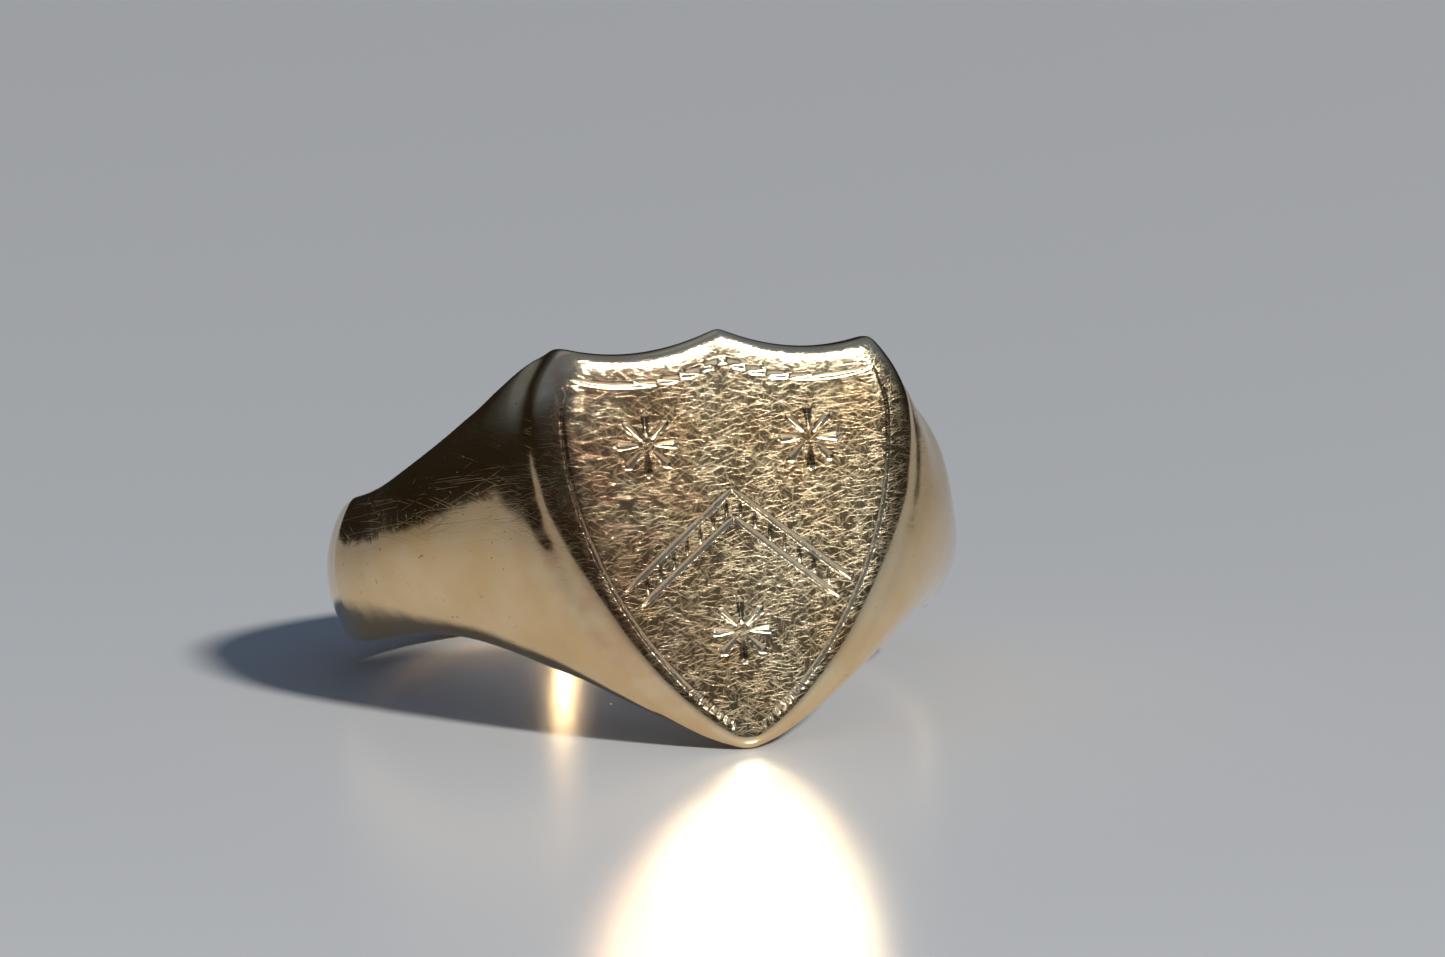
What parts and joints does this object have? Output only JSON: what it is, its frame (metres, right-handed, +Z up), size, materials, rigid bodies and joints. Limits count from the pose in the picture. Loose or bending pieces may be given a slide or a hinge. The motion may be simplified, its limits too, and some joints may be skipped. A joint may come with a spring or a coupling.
{
  "type": "signet ring",
  "caption": "Gold signet ring with a flat engraved shield-shaped table, flared shoulders and a tapering D-section band, lying at rest on the shield's point and the back of the band.",
  "frame": {"origin": "on the floor under the middle of the ring as it rests, halfway across its width and its depth", "axes": "+Z up from the floor, -Y the way the seal faces, X across the finger. The bore axis lies in the YZ plane and leans 14.72 degrees from +Z towards +Y; the seal's normal leans the same angle up from -Y"},
  "size_m": [0.0212, 0.0226, 0.0131],
  "materials": {
    "gold": "polished, worn and finely scratched",
    "solder": "polished flush"
  },
  "bodies": {
    "root": {"seal_plate": "gold", "plate_solder": "solder", "head_block": "gold", "left_shoulder": "gold", "right_shoulder": "gold", "left_shoulder_solder": "solder", "right_shoulder_solder": "solder", "shank_left": "gold", "shank_right": "gold", "left_shank_solder": "solder", "right_shank_solder": "solder", "sizing_solder": "solder"}
  },
  "joints": []
}
